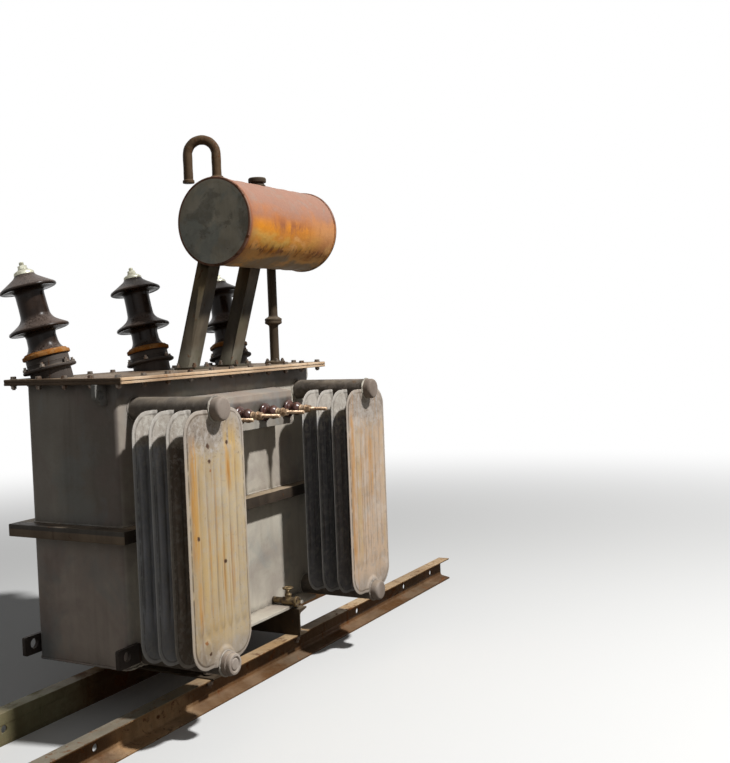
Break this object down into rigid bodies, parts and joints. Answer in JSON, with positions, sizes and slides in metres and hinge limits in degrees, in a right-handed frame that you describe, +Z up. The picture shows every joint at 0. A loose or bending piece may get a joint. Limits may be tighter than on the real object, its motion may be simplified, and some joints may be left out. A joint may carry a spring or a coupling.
{
  "type": "pole mounted transformer",
  "caption": "Oil-filled three-phase pole mounted transformer with side radiators, bushings, conservator and a pair of steel platform channels.",
  "frame": {"origin": "on the plane of the platform channels' undersides, at the centre of the whole outline", "axes": "+X along the platform channels and the tank's long side, -Y towards the radiators and low-voltage bushings, +Z up"},
  "size_m": [2.5, 0.6306, 1.4545],
  "materials": {
    "tank_paint": "weathered grey paint with rust stains",
    "fin_paint": "chalky grey paint with rust streaks",
    "rusty_paint": "faded paint largely rusted through",
    "rusty_steel": "dull rolled steel, rusted",
    "porcelain": "glossy dark brown glaze",
    "brass": "tarnished brass",
    "terminal_metal": "dull cast metal"
  },
  "bodies": {
    "root": {"tank_body": "tank_paint", "tank_cover": "tank_paint", "band_front": "tank_paint", "band_back": "tank_paint", "band_near_end": "tank_paint", "band_far_end": "tank_paint", "base_channel_near": "tank_paint", "base_channel_far": "tank_paint", "platform_channel_front": "rusty_steel", "platform_channel_back": "rusty_steel", "haulage_lugs": "tank_paint", "lifting_lugs": "tank_paint", "near_fin_1": "fin_paint", "near_fin_2": "fin_paint", "near_fin_3": "fin_paint", "near_fin_4": "fin_paint", "far_fin_1": "fin_paint", "far_fin_2": "fin_paint", "far_fin_3": "fin_paint", "far_fin_4": "fin_paint", "near_header_top": "fin_paint", "near_header_bottom": "fin_paint", "far_header_top": "fin_paint", "far_header_bottom": "fin_paint", "lv_pocket": "tank_paint", "lv_bushings": "porcelain", "lv_studs": "brass", "hv_turret_near": "tank_paint", "hv_turret_middle": "tank_paint", "hv_turret_far": "tank_paint", "hv_bushing_near": "porcelain", "hv_bushing_middle": "porcelain", "hv_bushing_far": "porcelain", "hv_terminals": "terminal_metal", "conservator_drum": "rusty_paint", "conservator_end_near": "rusty_paint", "conservator_end_far": "rusty_paint", "conservator_leg_near": "rusty_paint", "conservator_leg_far": "rusty_paint", "vent_pipe": "rusty_paint", "filler_cap": "rusty_paint", "oil_link_pipe": "rusty_paint", "drain_valve": "brass"}
  },
  "joints": []
}
